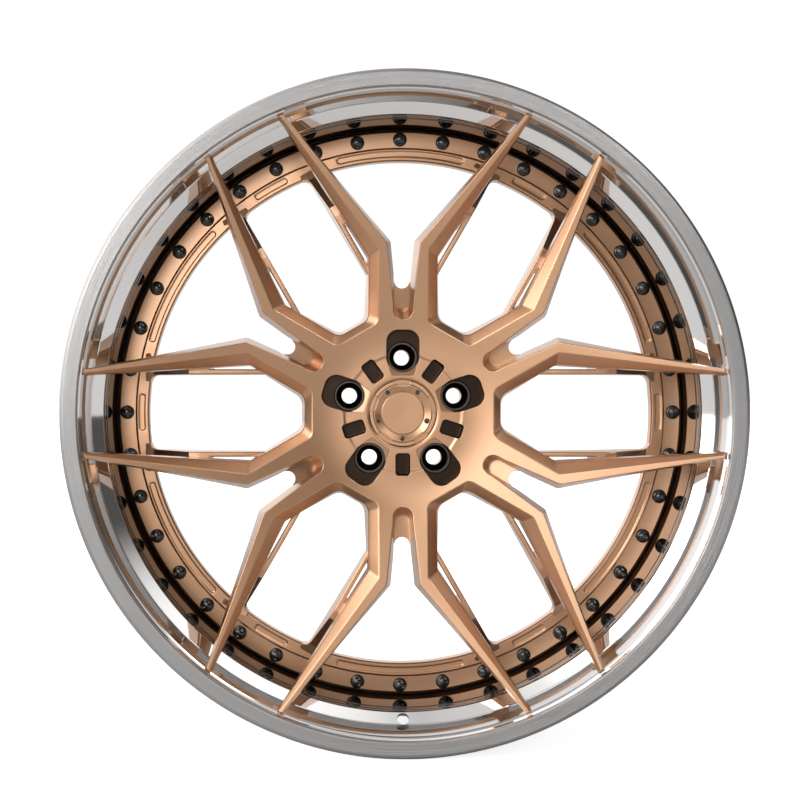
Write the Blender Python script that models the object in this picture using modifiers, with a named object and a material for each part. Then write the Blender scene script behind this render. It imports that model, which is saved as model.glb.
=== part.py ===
"""Three-piece forged wheel rim, 24 x 10 J: a forged centre with six split spokes,
bolted with forty flange bolts between a polished outer lip and an inner barrel.

Frame: the wheel spins about Y. Its front faces -Y, +Z is up and the origin is the
middle of the rim on the axis. Every piece is drawn in the wheel's own drawing frame,
where x is right and y is up as seen from the front and z is the height forward of
the bolt ring's front face; one empty turns that frame upright.
"""
import math

import bmesh
import bpy
from mathutils import Matrix

MM = 0.001

# Driving sizes, all in millimetres. Heights are forward of the bolt ring's face.
FRONT_H = 103.0            # front flange face
REAR_H = -175.0            # rear flange face
FLANGE_R = 322.3           # both rim flanges
BEAD_R = 304.8             # bead seats of a 24 inch rim
FLANGE_T = 12.0            # flange face to bead seat side
GAP = 0.3                  # clearance between neighbouring pieces

BOLTS = 40
BOLT_CIRCLE_R = 275.5
SHANK_R = 3.9
HOLE_R = 4.3
HEAD_R = 5.2
BOLT_FLANGE_R = 7.0
NUT_R = 6.5

RING_OUT_R = 285.8
BAND_OUT_R = 265.9         # raised inner band of the bolt ring
RING_IN_R = 253.8
BAND_H = 4.0
RING_T = 12.0
FLANGE_PLATE_T = 6.0       # mounting flanges of lip and barrel

LUGS = 5
LUG_CIRCLE_R = 54.0        # 5 x 108
LUG_BORE_R = 14.3
LUG_THROAT_R = 7.5
HUB_FACE_H = 66.0
HUB_RECESS_H = 64.0
PAD_H = 10.0               # mounting pad against the car's hub
PAD_R = 84.0
PILOT_R = 31.7             # pilot bore, 63.4 across
CAP_BORE_R = 26.5
CAP_SEAT_R = 32.3
CAP_SEAT_H = 52.0

SPOKES = 6
SPOKE_RISE = 0.168         # the spokes' front surface rises this much per radius
RISE_START_R = 80.0

TURN_STEPS = 60
HUB_STEPS = 40
BOLT_SIDES = 6
LUG_SIDES = 12
CAP_STEPS = 24


def front_height(radius):
    """Height of the spokes' front surface at a radius."""
    return HUB_FACE_H + SPOKE_RISE * max(radius - RISE_START_R, 0.0)


# ---------------------------------------------------------------- scene helpers
for old in list(bpy.data.objects):
    bpy.data.objects.remove(old, do_unlink=True)

scene = bpy.context.scene
wheel = bpy.data.collections.new("forged_wheel_rim")
cutters = bpy.data.collections.new("cutters")
scene.collection.children.link(wheel)
scene.collection.children.link(cutters)

axis_frame = bpy.data.objects.new("wheel_frame", None)
axis_frame.rotation_euler = (math.radians(90.0), 0.0, 0.0)
axis_frame.location = (0.0, (FRONT_H + REAR_H) / 2.0 * MM, 0.0)
scene.collection.objects.link(axis_frame)


def material(name, colour, roughness, metallic):
    mat = bpy.data.materials.new(name)
    mat.use_nodes = True
    bsdf = mat.node_tree.nodes["Principled BSDF"]
    bsdf.inputs["Base Color"].default_value = (*colour, 1.0)
    bsdf.inputs["Roughness"].default_value = roughness
    bsdf.inputs["Metallic"].default_value = metallic
    mat.diffuse_color = (*colour, 1.0)
    return mat


BRONZE = material("satin_bronze", (0.42, 0.24, 0.14), 0.42, 0.85)
POLISHED = material("polished_aluminium", (0.80, 0.79, 0.78), 0.12, 1.0)
BARREL_GREY = material("barrel_aluminium", (0.55, 0.55, 0.55), 0.35, 1.0)
BLACK_STEEL = material("black_steel", (0.012, 0.012, 0.012), 0.25, 0.6)
BOLT_BLACK = material("bolt_black", (0.01, 0.01, 0.01), 0.18, 0.5)
RUBBER = material("rubber", (0.02, 0.02, 0.02), 0.7, 0.0)
SEALANT = material("sealant", (0.25, 0.25, 0.24), 0.6, 0.0)


def add_piece(name, mesh, mat):
    """A named sub-part of the wheel, in the drawing frame."""
    piece = bpy.data.objects.new(name, mesh)
    piece.parent = axis_frame
    wheel.objects.link(piece)
    mesh.materials.clear()
    mesh.materials.append(mat)
    return piece


def add_helper(name, mesh, collection=None):
    """A cutter or a body that is joined into a piece."""
    helper = bpy.data.objects.new(name, mesh)
    helper.parent = axis_frame
    helper.hide_render = True
    helper.display_type = 'WIRE'
    (collection or cutters).objects.link(helper)
    return helper


def helper_collection(name):
    group = bpy.data.collections.new(name)
    cutters.children.link(group)
    return group


def profile_mesh(name, points, closed):
    """The half section of a turned shape: (radius, height) points in millimetres."""
    mesh = bpy.data.meshes.new(name)
    verts = [(r * MM, 0.0, h * MM) for r, h in points]
    edges = [(i, i + 1) for i in range(len(points) - 1)]
    if closed:
        edges.append((len(points) - 1, 0))
    mesh.from_pydata(verts, edges, [])
    return mesh


def screw(obj, steps):
    turn = obj.modifiers.new("turn", 'SCREW')
    turn.axis = 'Z'
    turn.angle = math.tau
    turn.steps = steps
    turn.render_steps = steps
    turn.use_merge_vertices = True
    turn.merge_threshold = 1e-5
    turn.use_smooth_shade = False


def boolean(obj, operation, target):
    """Join or cut with an object or with every object of a collection."""
    mod = obj.modifiers.new(operation.lower(), 'BOOLEAN')
    mod.operation = operation
    mod.solver = 'EXACT'
    if isinstance(target, bpy.types.Collection):
        mod.operand_type = 'COLLECTION'
        mod.collection = target
    else:
        mod.object = target


def mesh_from(bm, name):
    bmesh.ops.recalc_face_normals(bm, faces=bm.faces[:])
    mesh = bpy.data.meshes.new(name)
    bm.to_mesh(mesh)
    bm.free()
    return mesh


def prism_mesh(name, outline, bottom, top):
    """A flat outline of (x, y) points, extruded between two heights."""
    bm = bmesh.new()
    base = [bm.verts.new((x * MM, y * MM, bottom * MM)) for x, y in outline]
    face = bm.faces.new(base)
    grown = bmesh.ops.extrude_face_region(bm, geom=[face])
    lifted = [v for v in grown["geom"] if isinstance(v, bmesh.types.BMVert)]
    bmesh.ops.translate(bm, verts=lifted, vec=(0.0, 0.0, (top - bottom) * MM))
    return mesh_from(bm, name)


def loft_mesh(name, sections):
    """A closed skin through sections of equally many (x, y, z) points."""
    bm = bmesh.new()
    loops = [[bm.verts.new([c * MM for c in point]) for point in section] for section in sections]
    for lower, upper in zip(loops, loops[1:]):
        count = len(lower)
        for i in range(count):
            j = (i + 1) % count
            bm.faces.new((lower[i], lower[j], upper[j], upper[i]))
    bm.faces.new(loops[0])
    bm.faces.new(list(reversed(loops[-1])))
    return mesh_from(bm, name)


def round_hole(bm, centre, radius, bottom, top, sides):
    """Add an upright prism with a side facing outward to a cutter mesh."""
    x, y = centre
    place = Matrix.Translation((x * MM, y * MM, (bottom + top) / 2.0 * MM))
    turn = Matrix.Rotation(math.atan2(y, x) + math.pi / sides - math.pi / 2.0, 4, 'Z')
    bmesh.ops.create_cone(bm, cap_ends=True, segments=sides, radius1=radius * MM,
                          radius2=radius * MM, depth=(top - bottom) * MM, matrix=place @ turn)


def around(count, radius, start_deg=90.0):
    """Centres and angles of `count` places on a circle."""
    for i in range(count):
        angle = math.radians(start_deg + 360.0 * i / count)
        yield i, angle, (radius * math.cos(angle), radius * math.sin(angle))


def rounded_slot(inner, outer, half_width, corner, arc_steps=3):
    """Outline of a radial rounded rectangle from `inner` to `outer` along +x."""
    points = []
    corners = ((outer - corner, half_width - corner, 0.0), (inner + corner, half_width - corner, 90.0),
               (inner + corner, corner - half_width, 180.0), (outer - corner, corner - half_width, 270.0))
    for cx, cy, start in corners:
        for i in range(arc_steps + 1):
            angle = math.radians(start + 90.0 * i / arc_steps)
            points.append((cx + corner * math.cos(angle), cy + corner * math.sin(angle)))
    return points


# ---------------------------------------------------------------- bolt holes
def bolt_hole_cutter():
    bm = bmesh.new()
    for _, _, centre in around(BOLTS, BOLT_CIRCLE_R):
        round_hole(bm, centre, HOLE_R, -40.0, 20.0, BOLT_SIDES)
    return add_helper("bolt_holes", mesh_from(bm, "bolt_holes"))


BOLT_HOLES = bolt_hole_cutter()


# ---------------------------------------------------------------- forged centre
NARROW_TO_SPOKE = math.radians(180.0 / SPOKES)


def blade_plan(a, p):
    """Plan point (u across, v along the spoke's axis) from the distance `a` along the
    narrow window's axis and the distance `p` from it."""
    return (a * math.sin(NARROW_TO_SPOKE) - p * math.cos(NARROW_TO_SPOKE),
            a * math.cos(NARROW_TO_SPOKE) + p * math.sin(NARROW_TO_SPOKE))


def blade_station(a):
    """Both feet of the blade's section at `a`: the edges of a long straight taper."""
    return blade_plan(a, 35.2 + 0.07 * (299.7 - a)), blade_plan(a, 73.5 - 0.2135 * (a - 150.0))


def arm_section(narrow, wide, depth, draft, chamfer, drop, slope):
    """Six-sided section between the narrow-side foot and the wide-side foot: a drafted
    wall, a chamfer of width `chamfer` and depth `drop`, the flat top, and the wide
    side's sloping face, `slope` across."""
    width = math.dist(narrow, wide)

    def at(distance, below):
        t = distance / width
        u = narrow[0] + (wide[0] - narrow[0]) * t
        v = narrow[1] + (wide[1] - narrow[1]) * t
        return (u, v, front_height(math.hypot(u, v)) - below)

    return [at(0.0, depth), at(draft, drop), at(chamfer, 0.0), at(width - slope, 0.0),
            at(width, depth * 0.8), at(width * 0.85, depth)]


def arm_mesh():
    """Half of a split spoke: leg, knee and floating blade."""
    tip = (blade_plan(298.6, 35.3), blade_plan(295.6, 42.4))
    stations = (
        ((37.0, 84.0), (6.2, 84.0), 48.0, 4.0, 13.3, 9.0, 6.4),
        ((37.0, 98.0), (6.2, 98.0), 44.0, 4.0, 13.3, 9.0, 6.4),
        ((37.1, 136.2), (8.0, 150.0), 36.0, 3.0, 12.5, 9.5, 5.9),
        ((32.5, 148.1), (10.4, 163.5), 32.0, 1.5, 12.0, 10.0, 6.0),
        (*blade_station(162.0), 30.0, 1.0, 11.0, 9.5, 5.9),
        (*blade_station(205.0), 27.0, 0.8, 8.4, 8.0, 4.4),
        (*blade_station(250.0), 18.0, 0.6, 5.7, 5.5, 3.0),
        (*blade_station(288.0), 10.0, 0.4, 3.4, 3.2, 1.9),
        (*tip, 6.5, 0.3, 2.9, 2.6, 1.6),
    )
    return loft_mesh("arm", [arm_section(*station) for station in stations])


def strut_mesh():
    """The strut behind a blade, from the leg down to the bolt ring."""
    stations = (                      # a, near p, far p, back height, front height
        (127.0, 37.3, 54.0, 28.0, 58.0),
        (150.0, 37.3, 55.0, 22.0, 60.0),
        (197.0, 37.3, 55.0, 8.0, 62.0),
        (214.0, 37.3, 54.0, 2.0, 64.0),
        (236.0, 37.3, 53.0, -7.0, 24.0),
        (249.0, 37.3, 52.0, -11.0, 8.0),
        (257.5, 37.3, 51.5, -11.6, 3.6),
    )
    sections = []
    for a, near, far, back, front in stations:
        corners = ((near, back), (near, front), (far, front), (far, back))
        sections.append([(*blade_plan(a, p), h) for p, h in corners])
    return loft_mesh("strut", sections)


def strut_slot_mesh():
    """The long slot that parts the strut from the blade."""
    outline = [blade_plan(150.0, 42.6), blade_plan(153.0, 45.4), blade_plan(195.0, 42.55),
               blade_plan(197.0, 41.9), blade_plan(193.0, 41.5), blade_plan(153.0, 41.8)]
    return prism_mesh("strut_slot", outline, -5.0, 78.0)


def leg_slot_mesh():
    """The U-ended slot between a spoke's two legs, blind over its first part."""
    start, half_width, end, end_half = 98.0, 7.3, 175.0, 10.2
    points = [(end_half, end), (half_width + 0.8, 125.0)]
    for i in range(7):
        angle = math.radians(180.0 * i / 6)
        points.append((half_width * math.cos(angle), start - half_width * math.sin(angle)))
    points += [(-half_width - 0.8, 125.0), (-end_half, end)]
    return prism_mesh("leg_slot", points, 46.0, 90.0)


def leg_gap_mesh():
    """Where the slot goes right through."""
    return prism_mesh("leg_gap", [(9.4, 175.0), (8.3, 121.5), (-8.3, 121.5), (-9.4, 175.0)], 0.0, 90.0)


def on_spoke(obj, spoke):
    """Turn a body drawn along +y onto a spoke's axis."""
    obj.rotation_euler = (0.0, 0.0, math.tau * spoke / SPOKES)


def mirrored(obj):
    mirror = obj.modifiers.new("mirror", 'MIRROR')
    mirror.use_axis = (True, False, False)
    mirror.use_mirror_merge = False
    mirror.merge_threshold = 1e-5


def hub_helper(group):
    outline = [(CAP_SEAT_R, HUB_RECESS_H), (55.3, HUB_RECESS_H), (57.3, HUB_FACE_H), (87.0, HUB_FACE_H),
               (96.5, 57.0), (98.5, 22.0), (PAD_R, PAD_H), (PILOT_R, PAD_H), (PILOT_R, 24.0),
               (CAP_BORE_R, 24.0), (CAP_BORE_R, 49.8), (30.0, 49.8), (30.0, CAP_SEAT_H),
               (CAP_SEAT_R, CAP_SEAT_H)]
    hub = add_helper("hub", profile_mesh("hub", outline, True), group)
    screw(hub, HUB_STEPS)


def centre_joins():
    """The hub, the arms, the struts and the webs that bridge each pair of legs."""
    group = helper_collection("centre_joins")
    hub_helper(group)
    arm = arm_mesh()
    strut = strut_mesh()
    web = prism_mesh("leg_web", [(-9.5, 88.0), (9.5, 88.0), (9.5, 121.0), (-9.5, 121.0)], 27.0, 44.5)
    for spoke in range(SPOKES):
        for label, mesh in (("arm", arm), ("strut", strut)):
            half = add_helper(f"{label}_{spoke + 1}", mesh, group)
            mirrored(half)
            on_spoke(half, spoke)
        on_spoke(add_helper(f"leg_web_{spoke + 1}", web, group), spoke)
    return group


def lug_cutters(group):
    """Five stepped lug pockets with a round bore and a throat, and five small
    rectangular pockets between them."""
    pocket = prism_mesh("lug_pocket", rounded_slot(36.0, 80.0, 15.7, 11.5), 54.6, 90.0)
    relief = prism_mesh("small_pocket", rounded_slot(38.5, 60.0, 7.0, 3.5, 2), 48.0, 90.0)
    for i, angle, centre in around(LUGS, LUG_CIRCLE_R):
        bm = bmesh.new()
        round_hole(bm, centre, LUG_BORE_R + 0.4, 30.0, 70.0, LUG_SIDES)
        add_helper(f"lug_bore_{i + 1}", mesh_from(bm, "lug_bore"), group)
        bm = bmesh.new()
        round_hole(bm, centre, LUG_THROAT_R + 0.5, 0.0, 40.0, LUG_SIDES)
        add_helper(f"lug_throat_{i + 1}", mesh_from(bm, "lug_throat"), group)
        add_helper(f"lug_pocket_{i + 1}", pocket, group).rotation_euler = (0.0, 0.0, angle)
        between = angle + math.pi / LUGS
        add_helper(f"small_pocket_{i + 1}", relief, group).rotation_euler = (0.0, 0.0, between)


def centre_cuts():
    group = helper_collection("centre_cuts")
    strut_slot = strut_slot_mesh()
    leg_slot = leg_slot_mesh()
    leg_gap = leg_gap_mesh()
    for spoke in range(SPOKES):
        slot = add_helper(f"strut_slot_{spoke + 1}", strut_slot, group)
        mirrored(slot)
        on_spoke(slot, spoke)
        on_spoke(add_helper(f"leg_slot_{spoke + 1}", leg_slot, group), spoke)
        on_spoke(add_helper(f"leg_gap_{spoke + 1}", leg_gap, group), spoke)
    lug_cutters(group)
    return group


def centre_disc():
    outline = [(RING_IN_R + 1.2, BAND_H), (BAND_OUT_R - 1.6, BAND_H), (BAND_OUT_R, 0.0),
               (RING_OUT_R, 0.0), (RING_OUT_R, -RING_T), (RING_IN_R, -RING_T),
               (RING_IN_R - 0.8, BAND_H - 1.2)]
    disc = add_piece("centre_disc", profile_mesh("bolt_ring", outline, True), BRONZE)
    screw(disc, TURN_STEPS)
    boolean(disc, 'DIFFERENCE', BOLT_HOLES)
    boolean(disc, 'UNION', centre_joins())
    boolean(disc, 'DIFFERENCE', centre_cuts())


# ---------------------------------------------------------------- rim halves
def outer_lip():
    """Polished lip: rounded flange, deep stepped dish and the mounting flange that
    lies behind the bolt ring. The valve hole goes square through the conical step."""
    plate_front = -RING_T - GAP
    plate_back = plate_front - FLANGE_PLATE_T
    outline = [(302.2, 98.0), (305.0, FRONT_H), (314.0, FRONT_H), (320.6, 100.4), (FLANGE_R, 96.0),
               (320.8, FRONT_H - FLANGE_T), (BEAD_R, FRONT_H - FLANGE_T), (BEAD_R - 1.8, 70.0),
               (292.9, 57.0), (292.5, plate_back),
               (BOLT_CIRCLE_R - 9.0, plate_back), (BOLT_CIRCLE_R - 9.0, plate_front),
               (RING_OUT_R + 0.8, plate_front), (RING_OUT_R + 0.8, 59.6), (298.5, 69.0)]
    lip = add_piece("outer_lip", profile_mesh("outer_lip", outline, True), POLISHED)
    screw(lip, TURN_STEPS)
    boolean(lip, 'DIFFERENCE', BOLT_HOLES)
    boolean(lip, 'DIFFERENCE', valve_hole())


def valve_hole():
    """A round hole square to the conical step, at the bottom of the wheel."""
    middle_r, middle_h, lean = 292.6, 64.4, math.radians(37.6)
    bm = bmesh.new()
    bmesh.ops.create_cone(bm, cap_ends=True, segments=16, radius1=5.75 * MM, radius2=5.75 * MM,
                          depth=40.0 * MM)
    hole = add_helper("valve_hole", mesh_from(bm, "valve_hole"))
    hole.location = (0.0, -middle_r * MM, middle_h * MM)
    hole.rotation_euler = (-lean, 0.0, 0.0)
    return hole


def inner_barrel():
    """Rear half of the rim: mounting flange, drop centre, bead seat and rear flange."""
    plate_front = -RING_T - FLANGE_PLATE_T - 2.0 * GAP
    plate_back = plate_front - FLANGE_PLATE_T
    bead_side = REAR_H + FLANGE_T
    outline = [(BOLT_CIRCLE_R - 9.0, plate_front), (290.5, plate_front), (290.5, -60.0), (297.0, -78.0),
               (299.0, -136.0), (BEAD_R - 1.8, -142.0), (BEAD_R, bead_side), (320.8, bead_side),
               (FLANGE_R, bead_side - 5.0), (319.0, REAR_H), (306.0, REAR_H), (299.5, REAR_H + 6.0),
               (294.2, -134.0), (292.2, -80.0), (286.0, -62.0), (286.0, plate_back),
               (BOLT_CIRCLE_R - 9.0, plate_back)]
    barrel = add_piece("inner_barrel", profile_mesh("inner_barrel", outline, True), BARREL_GREY)
    screw(barrel, TURN_STEPS)
    boolean(barrel, 'DIFFERENCE', BOLT_HOLES)


def barrel_seal():
    """Bead of sealant around the joint, on the tyre side of the barrel."""
    joint = -RING_T - GAP - FLANGE_PLATE_T
    outline = [(290.9, joint - GAP), (292.9, joint - GAP), (294.4, joint - 2.5), (293.6, joint - 6.0),
               (290.9, joint - 8.5)]
    seal = add_piece("barrel_seal", profile_mesh("barrel_seal", outline, True), SEALANT)
    screw(seal, TURN_STEPS)


def rim_bolts():
    """Forty flange bolts, each with its nut behind the barrel's flange."""
    nut_face = -RING_T - 2.0 * FLANGE_PLATE_T - 3.0 * GAP
    outline = [(0.0, 7.0), (HEAD_R, 7.0), (BOLT_FLANGE_R, 1.8), (BOLT_FLANGE_R, GAP),
               (SHANK_R, GAP), (SHANK_R, nut_face), (NUT_R, nut_face),
               (NUT_R, nut_face - 7.0), (0.0, nut_face - 7.0)]
    mesh = profile_mesh("rim_bolt", outline, False)
    for i, angle, (x, y) in around(BOLTS, BOLT_CIRCLE_R):
        bolt = add_piece(f"rim_bolt_{i + 1:02d}", mesh, BOLT_BLACK)
        bolt.location = (x * MM, y * MM, 0.0)
        bolt.rotation_euler = (0.0, 0.0, angle + math.pi / BOLT_SIDES)
        screw(bolt, BOLT_SIDES)


# ---------------------------------------------------------------- hub pieces
def lug_seats():
    """Black steel seat cups in the lug bores, with a conical nut seat."""
    outline = [(LUG_BORE_R - 1.4, 53.0), (LUG_BORE_R, 53.0), (LUG_BORE_R, 30.0 + GAP),
               (LUG_THROAT_R, 30.0 + GAP), (LUG_THROAT_R, 33.0), (LUG_BORE_R - 1.4, 39.0)]
    mesh = profile_mesh("lug_seat", outline, True)
    for i, angle, (x, y) in around(LUGS, LUG_CIRCLE_R):
        seat = add_piece(f"lug_seat_{i + 1}", mesh, BLACK_STEEL)
        seat.location = (x * MM, y * MM, 0.0)
        seat.rotation_euler = (0.0, 0.0, angle + math.pi / LUG_SIDES)
        screw(seat, LUG_SIDES)


CAP_SCREW_R = 24.4


def cap_screw_cutter():
    bm = bmesh.new()
    for _, _, centre in around(LUGS, CAP_SCREW_R, -90.0):
        round_hole(bm, centre, 2.6, 57.0, 70.0, 8)
    return add_helper("cap_screw_holes", mesh_from(bm, "cap_screw_holes"))


def cap_notch_cutter():
    """Five rounded notches in the cap's ring, in line with the lug pockets."""
    notch = prism_mesh("cap_notch", rounded_slot(24.0, 40.0, 8.0, 6.0, 2), 57.5, 80.0)
    group = helper_collection("cap_notches")
    for i, angle, _ in around(LUGS, LUG_CIRCLE_R):
        add_helper(f"cap_notch_{i + 1}", notch, group).rotation_euler = (0.0, 0.0, angle)
    return group


def centre_cap():
    """Dished cap body with a skirt in the hub's bore, its notched ring, the blank disc,
    five small screws and the O-ring behind the body's flange."""
    body_outline = [(0.0, 57.0), (20.9, 57.0), (20.9, 58.4), (26.8, 61.5), (28.0, 61.5), (28.0, 55.2),
                    (CAP_SEAT_R - GAP, 55.2), (CAP_SEAT_R - GAP, CAP_SEAT_H + GAP),
                    (CAP_BORE_R - GAP, CAP_SEAT_H + GAP), (CAP_BORE_R - GAP, 38.0), (24.0, 38.0),
                    (24.0, 50.0), (0.0, 50.0)]
    body = add_piece("cap_body", profile_mesh("cap_body", body_outline, False), BRONZE)
    screw(body, CAP_STEPS)
    boolean(body, 'DIFFERENCE', cap_screw_cutter())

    ring_outline = [(28.4, 63.4), (CAP_SEAT_R - 0.9, 63.4), (CAP_SEAT_R - GAP, 62.8),
                    (CAP_SEAT_R - GAP, 55.5), (28.4, 55.5)]
    ring = add_piece("cap_ring", profile_mesh("cap_ring", ring_outline, True), BRONZE)
    screw(ring, CAP_STEPS)
    boolean(ring, 'DIFFERENCE', cap_notch_cutter())

    disc_outline = [(0.0, 59.0), (20.0, 59.0), (20.4, 58.6), (20.4, 57.0 + GAP), (0.0, 57.0 + GAP)]
    disc = add_piece("cap_disc", profile_mesh("cap_disc", disc_outline, False), BRONZE)
    screw(disc, CAP_STEPS)

    ring_r, ring_h, thick = 28.1, 51.05, 0.9
    section = [(ring_r + thick * math.cos(math.radians(90.0 - 60.0 * i)),
                ring_h + thick * math.sin(math.radians(90.0 - 60.0 * i))) for i in range(6)]
    seal = add_piece("cap_o_ring", profile_mesh("cap_o_ring", section, True), RUBBER)
    screw(seal, CAP_STEPS)

    screw_outline = [(0.0, 59.6), (2.2, 59.6), (2.2, 57.0 + GAP), (0.0, 57.0 + GAP)]
    mesh = profile_mesh("cap_screw", screw_outline, False)
    for i, angle, (x, y) in around(LUGS, CAP_SCREW_R, -90.0):
        head = add_piece(f"cap_screw_{i + 1}", mesh, BLACK_STEEL)
        head.location = (x * MM, y * MM, 0.0)
        head.rotation_euler = (0.0, 0.0, angle + math.pi / 8.0)
        screw(head, 8)


centre_disc()
outer_lip()
inner_barrel()
barrel_seal()
rim_bolts()
lug_seats()
centre_cap()
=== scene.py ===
"""Finished look of a three-piece forged wheel rim: a satin bronze forged centre with six
split spokes, black flange bolts, a deep polished lip and a turned inner barrel.

Shapes are drawn in the wheel's own drawing frame, in millimetres: u right and v up as
seen from the front, and h the height forward of the bolt ring's face.
"""

import math

import bmesh
import bpy
import numpy as np
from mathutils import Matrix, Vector
from mathutils.geometry import delaunay_2d_cdt


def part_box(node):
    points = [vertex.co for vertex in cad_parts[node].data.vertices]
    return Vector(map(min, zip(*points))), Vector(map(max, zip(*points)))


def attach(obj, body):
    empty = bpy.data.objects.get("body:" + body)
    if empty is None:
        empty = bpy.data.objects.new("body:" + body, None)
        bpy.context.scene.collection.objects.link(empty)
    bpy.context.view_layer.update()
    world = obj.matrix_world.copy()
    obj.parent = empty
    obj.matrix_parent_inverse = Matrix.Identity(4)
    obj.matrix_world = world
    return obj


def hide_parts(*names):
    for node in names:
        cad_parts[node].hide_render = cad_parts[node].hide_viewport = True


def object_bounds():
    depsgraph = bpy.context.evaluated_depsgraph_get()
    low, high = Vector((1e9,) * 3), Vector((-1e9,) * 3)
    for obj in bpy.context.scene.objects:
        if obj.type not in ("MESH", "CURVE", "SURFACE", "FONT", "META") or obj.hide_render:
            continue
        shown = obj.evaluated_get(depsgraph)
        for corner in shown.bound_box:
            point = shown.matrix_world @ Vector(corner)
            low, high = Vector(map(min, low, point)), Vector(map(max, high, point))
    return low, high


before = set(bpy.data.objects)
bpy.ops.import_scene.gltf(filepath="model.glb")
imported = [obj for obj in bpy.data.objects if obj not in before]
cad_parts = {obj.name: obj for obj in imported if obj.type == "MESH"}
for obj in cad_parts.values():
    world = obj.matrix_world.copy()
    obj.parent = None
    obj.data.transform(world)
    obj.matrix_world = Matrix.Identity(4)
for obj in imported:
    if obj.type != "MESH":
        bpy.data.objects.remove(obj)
cad_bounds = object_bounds()

MM = 0.001
RING_T = 12.0
RING_BACK_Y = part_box("centre_disc")[1].y
FACE_Y = RING_BACK_Y - RING_T * MM
FLANGE_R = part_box("outer_lip")[1].z / MM
FRONT_H = (FACE_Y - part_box("outer_lip")[0].y) / MM
REAR_H = (FACE_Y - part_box("inner_barrel")[1].y) / MM

BOLTS = 40
BOLT_CIRCLE_R = 275.5
GOLDEN_TURN = 2.399963  # each bolt stopped at its own angle when it was tightened
LUGS = 5
LUG_CIRCLE_R = 54.0
SPOKES = 6
HUB_TURN = 240
RING_TURN = 720


# ---------------------------------------------------------------- plane and mesh helpers
def unit(vector):
    return vector / np.linalg.norm(vector)


def rounded_path(corners, runs, arcs):
    """Open plane path through corners (x, y, radius). A corner P between unit directions
    a and b turns on an arc that leaves P at radius / tan(half) along both, with its centre
    at P + unit(a + b) * radius / sin(half), where cos(2 half) = a . b. Each straight run
    and each arc is shared into equal steps."""
    corners = np.array(corners, float)
    place, radius = corners[:, :2], corners[:, 2]
    parts, start = [], place[0]
    for i in range(1, len(place) - 1):
        a, b = unit(place[i - 1] - place[i]), unit(place[i + 1] - place[i])
        half = math.acos(np.clip(a @ b, -1.0, 1.0)) / 2.0
        reach = radius[i] / math.tan(half)
        enter, leave = place[i] + a * reach, place[i] + b * reach
        centre = place[i] + unit(a + b) * radius[i] / math.sin(half)
        parts.append(np.linspace(start, enter, runs[i - 1] + 1)[:-1])
        sweep = math.pi - 2.0 * half
        t = np.linspace(0.0, 1.0, arcs[i - 1] + 1)[:-1, None]
        parts.append(centre + (np.sin((1.0 - t) * sweep) * (enter - centre)
                               + np.sin(t * sweep) * (leave - centre)) / math.sin(sweep))
        start = leave
    parts.append(np.linspace(start, place[-1], runs[-1] + 1))
    return np.vstack(parts)


def rounded_rows(rows, reaches, steps=4):
    """Rows of points whose inner rows P become parabolas
    (1 - t)^2 A + 2 t (1 - t) P + t^2 B, with A and B at the row's reach towards its
    neighbours, and never past 0.45 of the way."""
    out = [rows[0]]
    for before, here, after, reach in zip(rows, rows[1:], rows[2:], reaches):
        ends = []
        for other in (before, after):
            gap = np.linalg.norm(other - here, axis=1, keepdims=True)
            ends.append(here + (other - here) * np.minimum(reach / np.maximum(gap, 1e-9), 0.45))
        for t in np.linspace(0.0, 1.0, steps + 1):
            out.append((1 - t) ** 2 * ends[0] + 2 * t * (1 - t) * here + t ** 2 * ends[1])
    out.append(rows[-1])
    return np.array(out)


def offset(loop, distance):
    """Closed plane loop moved to its right-hand side: point + distance * normal, where the
    normal is the tangent (next - previous) turned by -90 degrees."""
    tangent = np.roll(loop, -1, 0) - np.roll(loop, 1, 0)
    tangent /= np.linalg.norm(tangent, axis=1, keepdims=True)
    normal = np.stack([tangent[:, 1], -tangent[:, 0]], 1)
    return loop + normal * np.reshape(distance, (-1, 1))


def turned_by(points, angle):
    """(u, v) turned by an angle about the axis, with any height kept."""
    c, s = math.cos(angle), math.sin(angle)
    out = np.array(points, float)
    out[..., 0], out[..., 1] = (points[..., 0] * c - points[..., 1] * s,
                                points[..., 0] * s + points[..., 1] * c)
    return out


def ring_points(radius, count, centre=(0.0, 0.0)):
    """(cx + r cos t, cy + r sin t) at equal angles t."""
    t = np.arange(count) * math.tau / count
    return np.stack([centre[0] + radius * np.cos(t), centre[1] + radius * np.sin(t)], 1)


def inside(points, loop):
    """Even-odd test of plan points against a closed loop."""
    a, b = loop, np.roll(loop, -1, 0)
    x, y = points[:, :1], points[:, 1:]
    crosses = (a[:, 1] > y) != (b[:, 1] > y)
    dy = np.where(np.abs(b[:, 1] - a[:, 1]) < 1e-12, 1e-12, b[:, 1] - a[:, 1])
    return ((x < (b[:, 0] - a[:, 0]) * (y - a[:, 1]) / dy + a[:, 0]) & crosses).sum(1) % 2 == 1


def lifted(plan, height):
    """Plan points with a height each."""
    return np.column_stack([plan, np.broadcast_to(height, len(plan))])


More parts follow.
